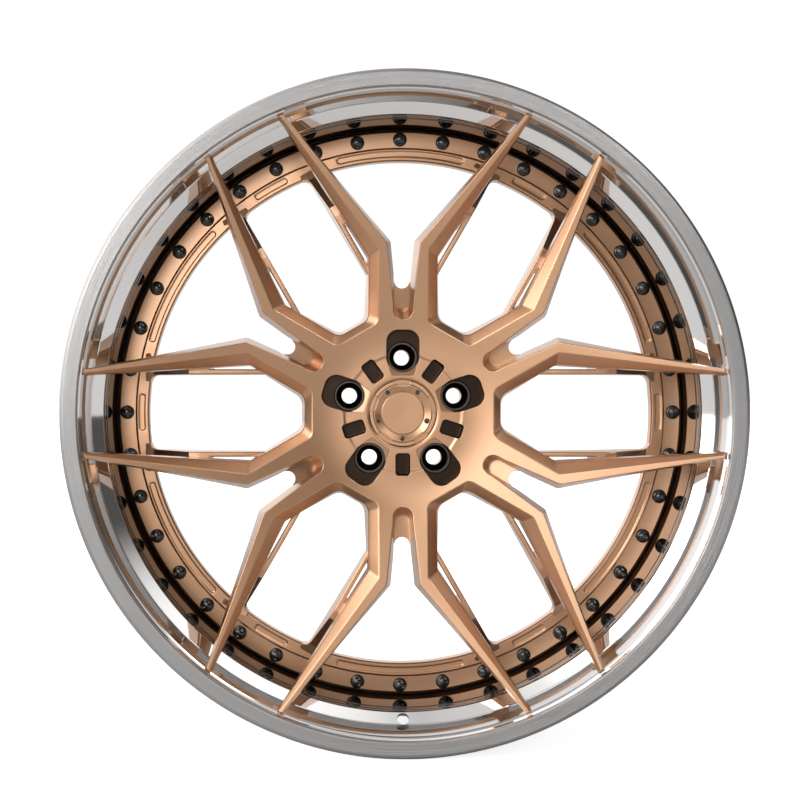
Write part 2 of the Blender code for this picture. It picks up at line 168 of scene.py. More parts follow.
class Body:
    """Points and faces gathered in the drawing frame before they become one mesh."""

    def __init__(self):
        self.points, self.faces, self.count = [], [], 0

    def add(self, points, faces):
        self.points.append(np.asarray(points, float).reshape(-1, 3))
        if len(faces):
            self.faces.extend((np.asarray(faces) + self.count).tolist())
        self.count += len(self.points[-1])

    def grid(self, rows, close_rows=False):
        """Quads over a grid of points whose columns close on themselves."""
        rows = np.asarray(rows, float)
        r, n = rows.shape[:2]
        i, j = np.meshgrid(np.arange(r if close_rows else r - 1), np.arange(n), indexing="ij")
        k, m = (i + 1) % r, (j + 1) % n
        quads = np.stack([i * n + j, k * n + j, k * n + m, i * n + m], -1).reshape(-1, 4)
        self.add(rows, quads)

    def fill(self, loops, height, extra=()):
        """Triangles over the plan inside the first loop and outside the others, lifted to
        height(u, v)."""
        plan, edges, start = [], [], 0
        for loop in loops:
            k = np.arange(len(loop))
            edges.append(np.stack([k + start, np.roll(k, -1) + start], 1))
            plan.append(loop)
            start += len(loop)
        if len(extra):
            plan.append(extra)
        plan = np.vstack(plan)
        out = delaunay_2d_cdt([Vector(p) for p in plan.tolist()], np.vstack(edges).tolist(),
                              [], 1, 1e-6)
        flat, triangles = np.array([v[:] for v in out[0]]), np.array(out[2])
        middle = flat[triangles].mean(1)
        keep = inside(middle, loops[0])
        for hole in loops[1:]:
            keep &= ~inside(middle, hole)
        self.add(lifted(flat, height(flat)), triangles[keep])

    def turn(self, profile, steps, closed=True):
        """Profile points (r, h) carried round the axis: (r cos t, r sin t, h)."""
        self.grid([lifted(ring_points(r, steps), h) for r, h in profile], close_rows=closed)

    def plate(self, outline, top, bottom, edge=0.6):
        """A flat solid over an outline, with rounded upper and lower edges."""
        inner = offset(outline, -edge * 1.6)
        rows = rounded_rows([lifted(inner, top), lifted(outline, top), lifted(outline, bottom),
                             lifted(inner, bottom)], (edge, edge), 3)
        self.grid(rows)
        for h in (top, bottom):
            self.fill([inner], lambda plan, h=h: np.full(len(plan), h))

    def join(self, other, angle=0.0, mirror=False):
        points = turned_by(np.vstack(other.points) * ((-1, 1, 1) if mirror else (1, 1, 1)), angle)
        self.points.append(points)
        self.faces.extend([[i + self.count for i in f] for f in other.faces])
        self.count += len(points)

    def mesh(self, name, weld=1.5e-6):
        """World place (u, FACE_Y - h, v) in metres; doubles are merged and faces turned out."""
        points = np.vstack(self.points) * MM
        world = np.stack([points[:, 0], FACE_Y - points[:, 2], points[:, 1]], 1)
        mesh = bpy.data.meshes.new(name)
        mesh.from_pydata(world.tolist(), [], self.faces)
        bm = bmesh.new()
        bm.from_mesh(mesh)
        bmesh.ops.remove_doubles(bm, verts=bm.verts, dist=weld)
        bmesh.ops.delete(bm, geom=[v for v in bm.verts if not v.link_faces], context='VERTS')
        bmesh.ops.recalc_face_normals(bm, faces=bm.faces)
        bm.to_mesh(mesh)
        bm.free()
        return mesh


def add_piece(name, mesh, material, nodes, sharp=32.0):
    """Link a finished piece, shade it, and tie it to the frame."""
    piece = bpy.data.objects.new(name, mesh)
    bpy.context.scene.collection.objects.link(piece)
    mesh.materials.clear()
    mesh.materials.append(material)
    mesh.polygons.foreach_set("use_smooth", np.ones(len(mesh.polygons), bool))
    mesh.set_sharp_from_angle(angle=math.radians(sharp))
    even = piece.modifiers.new("even_normals", 'WEIGHTED_NORMAL')
    even.keep_sharp = True
    even.weight = 50
    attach(piece, "root")
    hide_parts(*nodes)
    return piece


def hidden_cutter(name, body):
    """A body that only cuts; it is removed once its cut is applied."""
    cutter = bpy.data.objects.new(name, body.mesh(name))
    bpy.context.scene.collection.objects.link(cutter)
    return cutter


def cut_mesh(mesh, *cutters, bevel=0.0):
    """Exact difference of a mesh and its cutters, with an optional fine edge bevel."""
    work = bpy.data.objects.new("work", mesh)
    bpy.context.scene.collection.objects.link(work)
    for cutter in cutters:
        mod = work.modifiers.new("cut", 'BOOLEAN')
        mod.operation, mod.solver, mod.object = 'DIFFERENCE', 'EXACT', cutter
    if bevel:
        mod = work.modifiers.new("edge", 'BEVEL')
        mod.width, mod.segments, mod.limit_method = bevel * MM, 2, 'ANGLE'
        mod.angle_limit = math.radians(35.0)
        mod.harden_normals = False
    result = bpy.data.meshes.new_from_object(work.evaluated_get(bpy.context.evaluated_depsgraph_get()))
    for spent in (work, *cutters):
        bpy.data.objects.remove(spent)
    return result


# ---------------------------------------------------------------- finishes
class Value:
    """One node output; arithmetic on it adds Math nodes."""

    def __init__(self, finish, socket):
        self.finish, self.socket = finish, socket

    def math(self, operation, *values, clamp=False):
        return self.finish.node("ShaderNodeMath", {"operation": operation, "use_clamp": clamp},
                                dict(enumerate(values)))

    def __add__(self, other):
        return self.math("ADD", self, other)

    def __sub__(self, other):
        return self.math("SUBTRACT", self, other)

    def __rsub__(self, other):
        return self.math("SUBTRACT", other, self)

    def __mul__(self, other):
        return self.math("MULTIPLY", self, other)

    def __truediv__(self, other):
        return self.math("DIVIDE", self, other)

    def __pow__(self, other):
        return self.math("POWER", self, other)

    __radd__, __rmul__ = __add__, __mul__

    def step(self, low, high):
        """0 below low, 1 above high and smooth between."""
        return self.finish.node("ShaderNodeMapRange", {"interpolation_type": 'SMOOTHSTEP'},
                                {"Value": self, "From Min": low, "From Max": high})


class Finish:
    """A procedural material: one shader and the nodes that vary it over a surface."""

    def __init__(self, name, **constants):
        self.material = bpy.data.materials.new(name)
        self.material.use_nodes = True
        self.tree = self.material.node_tree
        self.tree.nodes.clear()
        self.shader = self.tree.nodes.new("ShaderNodeBsdfPrincipled")
        output = self.tree.nodes.new("ShaderNodeOutputMaterial")
        self.tree.links.new(self.shader.outputs[0], output.inputs[0])
        for key, value in constants.items():
            self.shader.inputs[key.replace("_", " ").title().replace("Ior", "IOR")].default_value = value
        self.place = self.node("ShaderNodeTexCoord", {}, {}, "Object")
        parts = self.tree.nodes.new("ShaderNodeSeparateXYZ")
        self.tree.links.new(self.place.socket, parts.inputs[0])
        self.x, self.y, self.z = (Value(self, parts.outputs[i]) for i in range(3))

    def node(self, kind, settings, values, output=0):
        """Any node: its settings first, then values or links for its sockets."""
        node = self.tree.nodes.new(kind)
        for key, value in settings.items():
            if key == "stops":
                ramp = node.color_ramp
                while len(ramp.elements) < len(value):
                    ramp.elements.new(1.0)
                for element, (position, colour) in zip(ramp.elements, value):
                    element.position, element.color = position, (*colour, 1.0)
            else:
                setattr(node, key, value)
        for key, value in values.items():
            if isinstance(value, Value):
                self.tree.links.new(value.socket, node.inputs[key])
            else:
                node.inputs[key].default_value = value
        return Value(self, node.outputs[output])

    def radius(self):
        return (self.x * self.x + self.z * self.z) ** 0.5

    def noise(self, scale, detail=2.0, roughness=0.5, vector=None):
        return self.node("ShaderNodeTexNoise", {}, {"Vector": vector or self.place, "Scale": scale,
                                                    "Detail": detail, "Roughness": roughness})

    def ramp(self, factor, *stops):
        return self.node("ShaderNodeValToRGB", {"stops": stops}, {"Fac": factor})

    def mix(self, factor, low, high):
        """Colour between two colours."""
        pad = [v if isinstance(v, Value) else (*v, 1.0) for v in (low, high)]
        return self.node("ShaderNodeMix", {"data_type": 'RGBA'}, {0: factor, 6: pad[0], 7: pad[1]}, 2)

    def turned_lines(self, fineness):
        """Fine lines left by turning: noise over (radius, depth) that hardly changes along
        the turn."""
        along = self.node("ShaderNodeMath", {"operation": 'ARCTAN2'}, {0: self.z, 1: self.x})
        place = self.node("ShaderNodeCombineXYZ", {}, {0: self.radius(), 1: self.y, 2: along * 0.0012})
        return self.noise(fineness, 3.0, 0.6, place)

    def set(self, **links):
        for key, value in links.items():
            self.tree.links.new(value.socket, self.shader.inputs[key.replace("_", " ").title()])
        return self.material

    def bump(self, height, strength, distance):
        return self.node("ShaderNodeBump", {}, {"Height": height, "Strength": strength,
                                                "Distance": distance})


def bronze_finish():
    """Satin anodised bronze: a fine blasted grain under a soft, slightly uneven coat, with painted shade in
    the lug and small pockets.
    """
    f = Finish("satin_bronze_finish", metallic=1.0, coat_roughness=0.26, coat_ior=1.85)
    cloud = f.noise(7.0, 3.0, 0.55)
    grain = f.noise(2600.0, 2.0, 0.6)
    speck = f.noise(900.0, 3.0, 0.7)
    colour = f.ramp(cloud * 0.75 + speck * 0.25, (0.30, (0.50, 0.258, 0.122)), (0.70, (0.57, 0.302, 0.148)))
    r, h = f.radius(), FACE_Y - f.y
    # painted shade: the floors and bores of the lug and small pockets are painted near black and lose most of
    # their coat, standing in for the shade in these recesses
    pocket = (r.step(0.0346, 0.0352) - r.step(0.0828, 0.0834)) * h.step(0.0300, 0.0310)
    pocket = pocket * (1.0 - (h - r.step(0.0440, 0.0540) * 0.0065).step(0.0495, 0.0540))
    colour = f.mix(pocket, colour, (0.032, 0.018, 0.011))
    rough = 0.26 + cloud * 0.05 + grain * 0.05
    return f.set(base_color=colour, roughness=rough, coat_weight=0.9 - pocket * 0.8,
                 normal=f.bump(grain * 0.6 + speck * 0.4, 0.10, 0.00012))


def lip_finish():
    """Mirror polished dish with faint turning lines, painted darker as dark reflection in the deep cylinder,
    on the steep wall and on the brushed flange face, and with an unpolished turned back."""
    f = Finish("polished_lip_finish", metallic=1.0)
    lines = f.turned_lines(2600.0)
    broad = f.turned_lines(420.0)
    haze = f.noise(14.0, 3.0, 0.6)
    r = f.radius()
    brushed = r.step(0.3040, 0.3052)
    wall = r.step(0.2978, 0.2984) - r.step(0.3030, 0.3034)
    # painted dark reflection: the steep wall, the deep cylinder and the brushed flange face are darkened in
    # colour, standing in for the dark surroundings a mirror shows there
    painted_dark_reflection = wall * 0.4 + (1.0 - r.step(0.2878, 0.2884)) * 0.78 + brushed * 0.62
    h = FACE_Y - f.y
    cone = f.x.math('MULTIPLY', h - 0.057, 80.0, clamp=True)
    back = (r - cone * 0.0108 - h * 0.02).step(0.2891, 0.2897) * (1.0 - h.step(0.0912, 0.0920))
    rough = 0.035 + haze * 0.03 + (brushed + back) * (0.26 + lines * 0.14)
    colour = f.mix(broad * 0.6 + haze * 0.4, (0.86, 0.85, 0.85), (0.93, 0.925, 0.92))
    # the painted dark reflection darkens the colour here; the unpolished back gets its own darker tone
    colour = f.mix(painted_dark_reflection * (1.0 - back) + back * 0.28, colour, (0.06, 0.055, 0.055))
    depth = lines * (0.003 + brushed + back * 0.6) + broad * (0.006 + brushed + back * 0.4)
    return f.set(base_color=colour, roughness=rough, normal=f.bump(depth, 0.7, 0.00036))


def barrel_finish():
    """Turned aluminium barrel with clear lathe lines."""
    f = Finish("turned_barrel_finish", metallic=1.0)
    lines, broad, haze = f.turned_lines(1500.0), f.turned_lines(260.0), f.noise(9.0, 3.0, 0.6)
    colour = f.mix(broad, (0.60, 0.60, 0.605), (0.74, 0.74, 0.74))
    return f.set(base_color=colour, roughness=0.22 + lines * 0.16 + haze * 0.08,
                 normal=f.bump(lines * 0.6 + broad * 0.4, 0.25, 0.0003))


def bolt_finish():
    """Gloss black steel, a little worn to a warmer brown-black in scattered patches."""
    f = Finish("gloss_black_bolt_finish", metallic=0.0, ior=1.7)
    wear, grain = f.noise(500.0, 3.0, 0.6), f.noise(3200.0)
    colour = f.mix(wear, (0.0035, 0.0030, 0.0028), (0.009, 0.008, 0.007))
    return f.set(base_color=colour, roughness=0.09 + wear * 0.08, normal=f.bump(grain, 0.04, 0.00006))


def seat_finish():
    """Satin black seat cups; the cut rim of each is nearly bare steel."""
    f = Finish("lug_seat_finish", metallic=0.9)
    wear = f.noise(700.0, 3.0, 0.6)
    top_y = FACE_Y - 52.9 * MM
    rim = 1.0 - f.y.step(top_y, top_y + 0.0004)
    colour = f.mix(rim, f.mix(wear, (0.010, 0.010, 0.010), (0.028, 0.026, 0.025)), (0.10, 0.085, 0.075))
    return f.set(base_color=colour, roughness=0.30 + wear * 0.15, normal=f.bump(wear, 0.1, 0.0001))


def rubber_finish(name, dark, light):
    f = Finish(name, metallic=0.0)
    blot, grain = f.noise(160.0, 3.0, 0.6), f.noise(2400.0)
    return f.set(base_color=f.mix(blot, dark, light), roughness=0.6 + grain * 0.2,
                 normal=f.bump(grain * 0.5 + blot * 0.5, 0.2, 0.0003))


BRONZE = bronze_finish()
POLISHED = lip_finish()
TURNED = barrel_finish()
BLACK = bolt_finish()
SEAT = seat_finish()
RUBBER = rubber_finish("o_ring_rubber_finish", (0.012, 0.012, 0.012), (0.03, 0.03, 0.03))
SEALANT = rubber_finish("sealant_finish", (0.20, 0.20, 0.19), (0.30, 0.30, 0.29))


# ---------------------------------------------------------------- forged centre
NARROW = math.radians(30.0)


def blade_plan(a, p):
    """(a sin30 - p cos30, a cos30 + p sin30): a along a narrow window's axis and p away
    from it, on the spoke drawn upright."""
    return (a * math.sin(NARROW) - p * math.cos(NARROW), a * math.cos(NARROW) + p * math.sin(NARROW))


def front_height(plan):
    """Spokes' front surface: a parabola from 65.1 at radius 57 to 68 at radius 92, which runs
    on at 0.168 per radius; the face inside radius 56 lies lower behind a short bevel."""
    r = np.linalg.norm(plan, axis=-1)
    x = np.clip(r - 57.0, 0.0, None)
    rise = np.where(x > 35.0, x - 17.5, x * x / 70.0)
    t = np.clip((r - 55.3) / 2.0, 0.0, 1.0)
    return 64.0 + 1.08 * t * t * (3.0 - 2.0 * t) + 0.168 * rise


def back_height(plan):
    """Front surface less the arm's depth at that radius."""
    r = np.linalg.norm(plan, axis=-1)
    return front_height(plan) - np.interp(r, (90, 140, 165, 209, 253, 290, 301),
                                          (44, 36, 31, 27, 18, 10, 6.5))


RUNS = (6, 16, 30, 2, 30, 8, 8, 3, 1)
ARCS = (8, 8, 3, 3, 8, 3, 3, 8)


def rail(*corners):
    return rounded_path(corners, RUNS, ARCS)


def arm_rails():
    """Half sector, from a narrow window's axis round the tip to the spoke's axis: the flat
    top's edge, the chamfer's foot, the wall's foot and the lower edge."""
    top = rail((*blade_plan(87.0, 0.0), 0), (23.6, 86.8, 9.0), (23.5, 156.2, 6.0),
               (*blade_plan(297.6, 38.3), 0.8), (*blade_plan(296.9, 40.9), 0.8),
               (15.9, 162.2, 7.0), (12.9, 136.0, 70.0), (9.4, 104.0, 60.0), (9.4, 90.0, 9.3),
               (0.0, 90.0, 0))
    chamfer = rail((*blade_plan(94.5, 0.0), 0), (33.0, 90.1, 11.0), (33.1, 150.4, 5.0),
                   (*blade_plan(298.6, 35.9), 1.0), (*blade_plan(297.2, 41.4), 1.0),
                   (14.3, 163.8, 6.5), (11.3, 136.0, 70.0), (8.7, 104.5, 60.0),
                   (8.7, 92.8, 8.6), (0.0, 92.8, 0))
    wall = rail((*blade_plan(97.0, 0.0), 0), (36.0, 91.2, 12.0), (33.6, 150.0, 5.0),
                (*blade_plan(299.0, 35.3), 1.0), (*blade_plan(296.4, 42.2), 1.2),
                (11.35, 166.65, 6.0), (8.4, 136.0, 70.0), (7.5, 108.0, 60.0),
                (7.4, 98.6, 7.3), (0.0, 98.6, 0))
    lower = rail((*blade_plan(98.5, 0.0), 0), (37.0, 92.2, 12.0), (34.3, 150.5, 5.0),
                 (*blade_plan(298.4, 36.2), 1.0), (*blade_plan(296.2, 41.5), 1.0),
                 (14.2, 164.0, 6.0), (8.6, 136.0, 70.0), (7.5, 108.0, 60.0),
                 (7.4, 98.6, 7.3), (0.0, 98.6, 0))
    return top, chamfer, wall, lower


def six_spokes(half):
    """A half sector, mirrored and turned round the wheel as one closed loop."""
    sector = np.vstack([half, (half * ((-1.0,) + (1.0,) * (half.shape[1] - 1)))[::-1][1:-1]])
    return np.vstack([turned_by(sector, k * math.tau / SPOKES) for k in range(SPOKES)])


def arm_loops():
    """The rails with their heights. The chamfer and the wall drop by lengths that depend on
    the radius, on the narrow side and the wide side apart, blended across the tip."""
    top, chamfer, wall, lower = arm_rails()
    tip = sum(RUNS[:3]) + sum(ARCS[:2])
    side = np.clip((np.arange(len(top)) - tip) / (ARCS[2] + RUNS[3] + ARCS[3]), 0.0, 1.0)
    r = np.linalg.norm(top, axis=1)
    stops = (90, 140, 165, 209, 253, 290, 301)
    narrow_wall = np.interp(r, stops, (28, 28, 25, 21.6, 14.4, 8, 5.2))
    wide_wall = np.interp(r, stops, (22, 24, 27, 24.3, 16.2, 9, 5.9))
    narrow_chamfer = np.interp(r, stops, (9, 9, 9.5, 8, 5.5, 3.2, 2.4))
    wall_drop = narrow_wall * (1 - side) + wide_wall * side
    chamfer_drop = narrow_chamfer * (1 - side) + 0.35 * wide_wall * side
    inset = np.interp(r, stops, (1.2, 1.2, 1.1, 1.0, 0.8, 0.55, 0.45))
    halves = (lifted(top, front_height(top)), lifted(chamfer, front_height(chamfer) - chamfer_drop),
              lifted(wall, front_height(wall) - wall_drop), lifted(lower, back_height(lower)))
    loops = [six_spokes(half) for half in halves]
    inset = six_spokes(np.column_stack([top, inset]))[:, 2]
    first, last = offset(loops[0][:, :2], -inset * 1.15), offset(loops[3][:, :2], -inset * 1.15)
    rows = [lifted(first, front_height(first)), *loops, lifted(last, back_height(last))]
    reach = inset[:, None]
    return rows[0][:, :2], rows[-1][:, :2], rounded_rows(rows, (reach, reach, reach * 1.2, reach))


def far_from(points, loop, margin):
    return np.array([np.min(np.hypot(*(loop - p).T)) > margin for p in points])


def closed_half(corners, runs, arcs):
    """Closed loop, anticlockwise, from its upper half drawn from the far end to the near
    end of the local x axis."""
    half = rounded_path(corners, runs, arcs)
    return np.vstack([half, (half * (1, -1))[::-1][1:-1]])


def pocket_rows(outline, floor, edge=0.8, foot=0.6):
    """A pocket's wall: rounded top edge, wall and fillet at the floor."""
    outer, inner = offset(outline, edge * 1.1), offset(outline, -foot * 1.1)
    rows = [lifted(outer, front_height(outer)), lifted(outline, front_height(outline)),
            lifted(outline, floor(outline)), lifted(inner, floor(inner))]
    return rounded_rows(rows, (edge, foot)), outer, inner


def lug_floor(plan):
    """Flat shelf that slopes up 0.28 per length nearer the cap than 46."""
    return 54.6 + 0.28 * np.clip(46.0 - plan[:, 0], 0.0, None)


def lug_pocket():
    """Stepped pocket that flares away from the cap, its round bore and the throat."""
    outline = closed_half([(80.0, 0.0, 0), (80.0, 15.8, 11.5), (52.0, 15.8, 9.0), (36.3, 10.6, 2.5),
                           (36.3, 0.0, 0)], (3, 10, 8, 6), (12, 5, 5))
    rows, outer, inner = pocket_rows(outline, lug_floor, 0.7, 0.5)
    body = Body()
    body.grid(rows)
    place = (LUG_CIRCLE_R, 0.0)
    bore = ring_points(14.95, 72, place)
    body.fill([inner, bore], lug_floor)
    rows = [lifted(bore, lug_floor(bore))] + [lifted(ring_points(r, 72, place), h) for r, h in (
        (14.5, 54.0), (14.35, 53.6), (14.35, 30.2), (8.2, 30.0), (7.9, 29.7), (7.9, 10.5), (8.4, 10.0))]
    body.grid(rows)
    return body, outer, ring_points(8.4, 72, place)


def small_pocket():
    outline = closed_half([(60.0, 0.0, 0), (60.0, 7.0, 3.4), (38.5, 7.0, 3.4), (38.5, 0.0, 0)],
                          (4, 12, 4), (6, 6))
    floor = lambda plan: np.full(len(plan), 48.0)
    rows, outer, inner = pocket_rows(outline, floor, 0.6, 2.2)
    body = Body()
    body.grid(rows)
    body.fill([inner], floor)
    return body, outer


def arm_and_hub():
    """Hub and arms as one closed skin."""
    body = Body()
    top_loop, back_loop, rows = arm_loops()
    body.grid(rows)
    lug, lug_loop, throat = lug_pocket()
    small, small_loop = small_pocket()
    holes, throats = [], []
    for k in range(LUGS):
        angle = math.radians(90.0) + k * math.tau / LUGS
        body.join(lug, angle)
        body.join(small, angle + math.pi / LUGS)
        holes += [turned_by(lug_loop, angle), turned_by(small_loop, angle + math.pi / LUGS)]
        throats.append(turned_by(throat, angle))
    radii = (37, 40, 43, 46, 49, 52, 54.4, 55.3, 55.7, 56.1, 56.5, 56.9, 57.3, 58.2, 60.5, 63.5, 67,
             70, 73, 76, 79, 82, 85, 88, 91, 95, 100, 106)
    extra = np.vstack([ring_points(r, 160) for r in radii])
    extra = extra[inside(extra, top_loop)]
    for hole in holes:
        extra = extra[~inside(extra, hole)]
    extra = extra[far_from(extra, np.vstack([top_loop, *holes]), 0.9)]
    cap_edge = ring_points(34.6, HUB_TURN)
    body.fill([top_loop, cap_edge, *holes], front_height, extra)
    bore = ((34.6, 64.0), (34.1, 63.9), (33.5, 63.3), (33.1, 63.1), (32.7, 62.9), (32.4, 62.2), (32.3, 52.1),
            (32.2, 52.0), (30.0, 52.0), (30.0, 49.8), (26.7, 49.8), (26.5, 49.6), (26.5, 24.3), (26.8, 24.0),
            (31.5, 24.0), (31.7, 23.7), (31.7, 10.8), (32.5, 10.0))
    body.turn(bore, HUB_TURN, closed=False)
    pad_in, pad_out = ring_points(32.5, HUB_TURN), ring_points(83.4, HUB_TURN)
    body.fill([pad_out, pad_in, *throats], lambda plan: np.full(len(plan), 10.0))
    back_in = ring_points(88.0, HUB_TURN)
    body.turn(((83.4, 10.0), (84.4, 10.4), (85.0, 11.6), (88.0, float(back_height(np.array([88.0, 0.0]))))),
              HUB_TURN, closed=False)
    body.fill([back_loop, back_in], back_height)
    return body


def strut():
    """Strut behind a blade: a rounded rectangle in (p, h), swept along a. It is a thin bar
    beside its slot, widens under the blade, and flares into the bolt ring."""
    a = np.concatenate([(126.0, 150.0, 168.0, 186.0), np.linspace(187.5, 206.0, 14),
                        (214.0, 221.0, 228.0, 238.0), np.linspace(241.5, 257.5, 17)])
    flare = 8.0 - np.sqrt(np.clip(64.0 - np.clip(a - 243.0, 0.0, 8.0) ** 2, 0.0, None))
    near = 37.3 - flare * 0.8
    t = np.clip((a - 186.0) / 18.0, 0.0, 1.0)
    far = 42.3 + (10.6 - 0.02 * (a - 186.0)) * np.sqrt(1.0 - (1.0 - t) ** 2) + flare
    back = np.interp(a, (127, 150, 197, 214, 236, 249, 257.5), (28, 22, 8, 2, -7, -11, -11.6))
    front = np.interp(a, (127, 150, 197, 206, 247, 257.5), (56, 58, 60, 59, 6.5, 3.7))
    c = 1.3
    sections = []
    t = np.linspace(0.0, math.pi / 2.0, 5)
    for i in range(len(a)):
        corners = ((far[i] - c, front[i] - c, 0.0), (near[i] + c, front[i] - c, 90.0),
                   (near[i] + c, back[i] + c, 180.0), (far[i] - c, back[i] + c, 270.0))
        p = np.concatenate([x + c * np.cos(t + math.radians(s)) for x, _, s in corners])
        h = np.concatenate([y + c * np.sin(t + math.radians(s)) for _, y, s in corners])
        u, v = blade_plan(a[i], p)
        sections.append(np.stack([u, v, h], 1))
    body = Body()
    body.grid(sections)
    n = len(sections[0])
    body.faces.append(list(range(n)))
    body.faces.append(list(range((len(a) - 1) * n, len(a) * n))[::-1])
    return body


def leg_web():
    """Floor of the slot between two legs: it rises 0.2 per length outwards and has a hollow
    round end."""
    t = np.linspace(math.pi, math.tau, 17)
    hollow = np.stack([7.5 * np.cos(t), 129.0 + 7.5 * np.sin(t)], 1)[::-1]
    outline = np.vstack([[(-9.4, 86.0), (9.4, 86.0), (9.4, 128.6)], hollow[1:-1], [(-9.4, 128.6)]])
    body = Body()
    body.plate(outline, 35.0, 27.0, 0.5)
    for points in body.points:
        points[:, 2] += np.where(points[:, 2] > 31.0, 0.2 * (points[:, 1] - 86.0), 0.0)
    return body


BAND_IN, BAND_OUT = 255.0, 264.2


def pill_loop(middle_deg, half_length, grown):
    """Stadium bent along the band: (s, q) to radius 260.2 + q at angle middle + s / 260.2."""
    end, side = half_length + grown, 3.1 + grown
    flat = closed_half([(end, 0.0, 0), (end, side, side * 0.96), (-end, side, side * 0.96),
                        (-end, 0.0, 0)], (1, int(half_length / 1.2), 1), (7, 7))
    angle = math.radians(middle_deg) - flat[:, 0] / 260.2
    r = 260.2 + flat[:, 1]
    return np.stack([r * np.cos(angle), r * np.sin(angle)], 1)[::-1]


def bolt_ring():
    """Bolt ring with a raised band and a row of long and short pill-shaped recesses in it."""
    body = Body()
    profile = rounded_path([(BAND_OUT, 4.0, 0), (264.9, 4.0, 0.5), (266.9, 0.0, 0.8),
                            (282.6, 0.0, 0.8), (285.6, -4.0, 0.8), (285.8, -RING_T, 0.4),
                            (253.8, -RING_T, 0.4), (253.0, 2.4, 0.8), (254.4, 4.0, 0.6),
                            (BAND_IN, 4.0, 0)],
                           (1, 1, 3, 2, 1, 2, 2, 1, 1), (3, 3, 3, 2, 2, 2, 3, 3))
    body.turn(profile, RING_TURN, closed=False)
    level = lambda plan: np.full(len(plan), 4.0)
    outlines = []
    for k in range(SPOKES):
        for middle, half_length in ((60.0 * k, 18.5), (60.0 * k + 30.0, 64.5)):
            edges = [pill_loop(middle, half_length, e) for e in (0.5, 0.15, -0.2, -0.7, -1.2)]
            body.grid([lifted(edge, h) for edge, h in zip(edges, (4.0, 3.85, 3.45, 3.1, 3.0))])
            outlines.append(edges[0])
            body.fill([edges[-1]], lambda plan: np.full(len(plan), 3.0))
    body.fill([ring_points(BAND_OUT, RING_TURN), ring_points(BAND_IN, RING_TURN), *outlines], level)
    return body


def forged_centre():
    whole = arm_and_hub()
    bar, web = strut(), leg_web()
    for k in range(SPOKES):
        turn = k * math.tau / SPOKES
        whole.join(bar, turn)
        whole.join(bar, turn, mirror=True)
        whole.join(web, turn)
    whole.join(bolt_ring())
    return add_piece("forged_centre", whole.mesh("forged_centre"), BRONZE,
                     ["centre_disc"])


# ---------------------------------------------------------------- rim halves
def profile_loop(points, run_step=12.0, arc=4):
    """Closed profile with rounded corners (r, h, radius). It starts halfway along its last
    side, and long sides get a step every run_step."""
    points = [tuple(p) for p in points]
    start = tuple((np.array(points[0][:2]) + np.array(points[-1][:2])) / 2.0) + (0,)
    corners = [start, *points, start]
    runs = [max(1, int(math.dist(a[:2], b[:2]) / run_step)) for a, b in zip(corners, corners[1:])]
    return rounded_path(corners, runs, [arc] * (len(corners) - 2))[:-1]


def outer_lip():
    """Polished lip, turned from one profile: rolled flange, small bead, steep wall, conical
    step, deep cylinder and the plate behind the bolt ring, with the valve hole cut square
    through the conical step."""
    f, r = FRONT_H, FLANGE_R
    profile = [(286.6, -12.3, 0.5), (286.6, 44.6, 0.4), (287.3, 45.6, 0.3), (287.4, 50.2, 0.3),
               (286.9, 51.0, 0.3), (286.9, 53.4, 0.4), (287.5, 54.6, 0.3), (287.6, 58.2, 0.5),
               (288.4, 59.4, 0.5),
               (297.3, 66.9, 0.6), (298.1, 67.4, 0.3), (298.5, 68.9, 0.5), (301.5, f - 7.6, 0.4),
               (302.6, f - 7.0, 0.25), (302.3, f - 5.9, 0.25), (303.4, f - 5.0, 0.4), (304.2, f - 2.4, 0.5),
               (304.9, f - 1.7, 0.3), (305.6, f, 1.1), (r - 3.6, f, 3.3), (r, f - 5.0, 2.4),
               (r - 1.2, f - 12.0, 1.0), (304.8, f - 12.0, 2.5), (303.0, f - 33.0, 3.0), (292.9, 57.0, 3.0),
               (292.5, -18.3, 1.0), (266.5, -18.3, 0.5), (266.5, -12.3, 0.5)]
    body = Body()
    body.turn(profile_loop(profile), 480)
    hole = Body()
    lean, radius = math.radians(37.6), 5.75
    along = np.array([0.0, math.sin(lean), math.cos(lean)])
    across = np.cross(along, (1.0, 0.0, 0.0))
    middle = np.array([0.0, -292.6, 64.4])
    t = np.arange(64) * math.tau / 64
    circle = np.outer(np.cos(t), (1.0, 0.0, 0.0)) + np.outer(np.sin(t), across)
    rows = [middle + along * d + circle * q for q, d in
            ((radius, -22.0), (radius, -0.9), (radius + 0.75, 0.15), (radius + 0.75, 16.0))]
    hole.grid(rows)
    hole.faces.append(list(range(64)))
    hole.faces.append(list(range(192, 256)))
    mesh = cut_mesh(body.mesh("outer_lip"), hidden_cutter("valve_hole", hole))
    return add_piece("polished_lip", mesh, POLISHED, ["outer_lip"], sharp=28.0)


def inner_barrel():
    """Turned barrel: mounting plate, drop centre, bead seat, hump and rear flange."""
    r, b = FLANGE_R, REAR_H
    profile = [(266.5, -18.6, 0.5), (290.5, -18.6, 0.8), (290.5, -60.0, 9.0), (297.0, -78.0, 9.0),
               (299.0, -128.0, 4.0), (301.4, -133.0, 2.0), (301.6, -138.0, 2.0), (303.0, -141.0, 2.0),
               (304.8, b + 12.0, 2.5), (r - 1.5, b + 12.0, 1.2), (r, b + 7.0, 2.4), (319.0, b, 3.0),
               (306.0, b, 3.0), (299.5, b + 6.0, 4.0), (294.2, -134.0, 9.0), (292.2, -80.0, 12.0),
               (286.0, -62.0, 9.0), (286.0, -24.6, 1.5), (266.5, -24.6, 0.5)]
    body = Body()
    body.turn(profile_loop(profile), 360)
    return add_piece("turned_barrel", body.mesh("inner_barrel"), TURNED,
                     ["inner_barrel"])


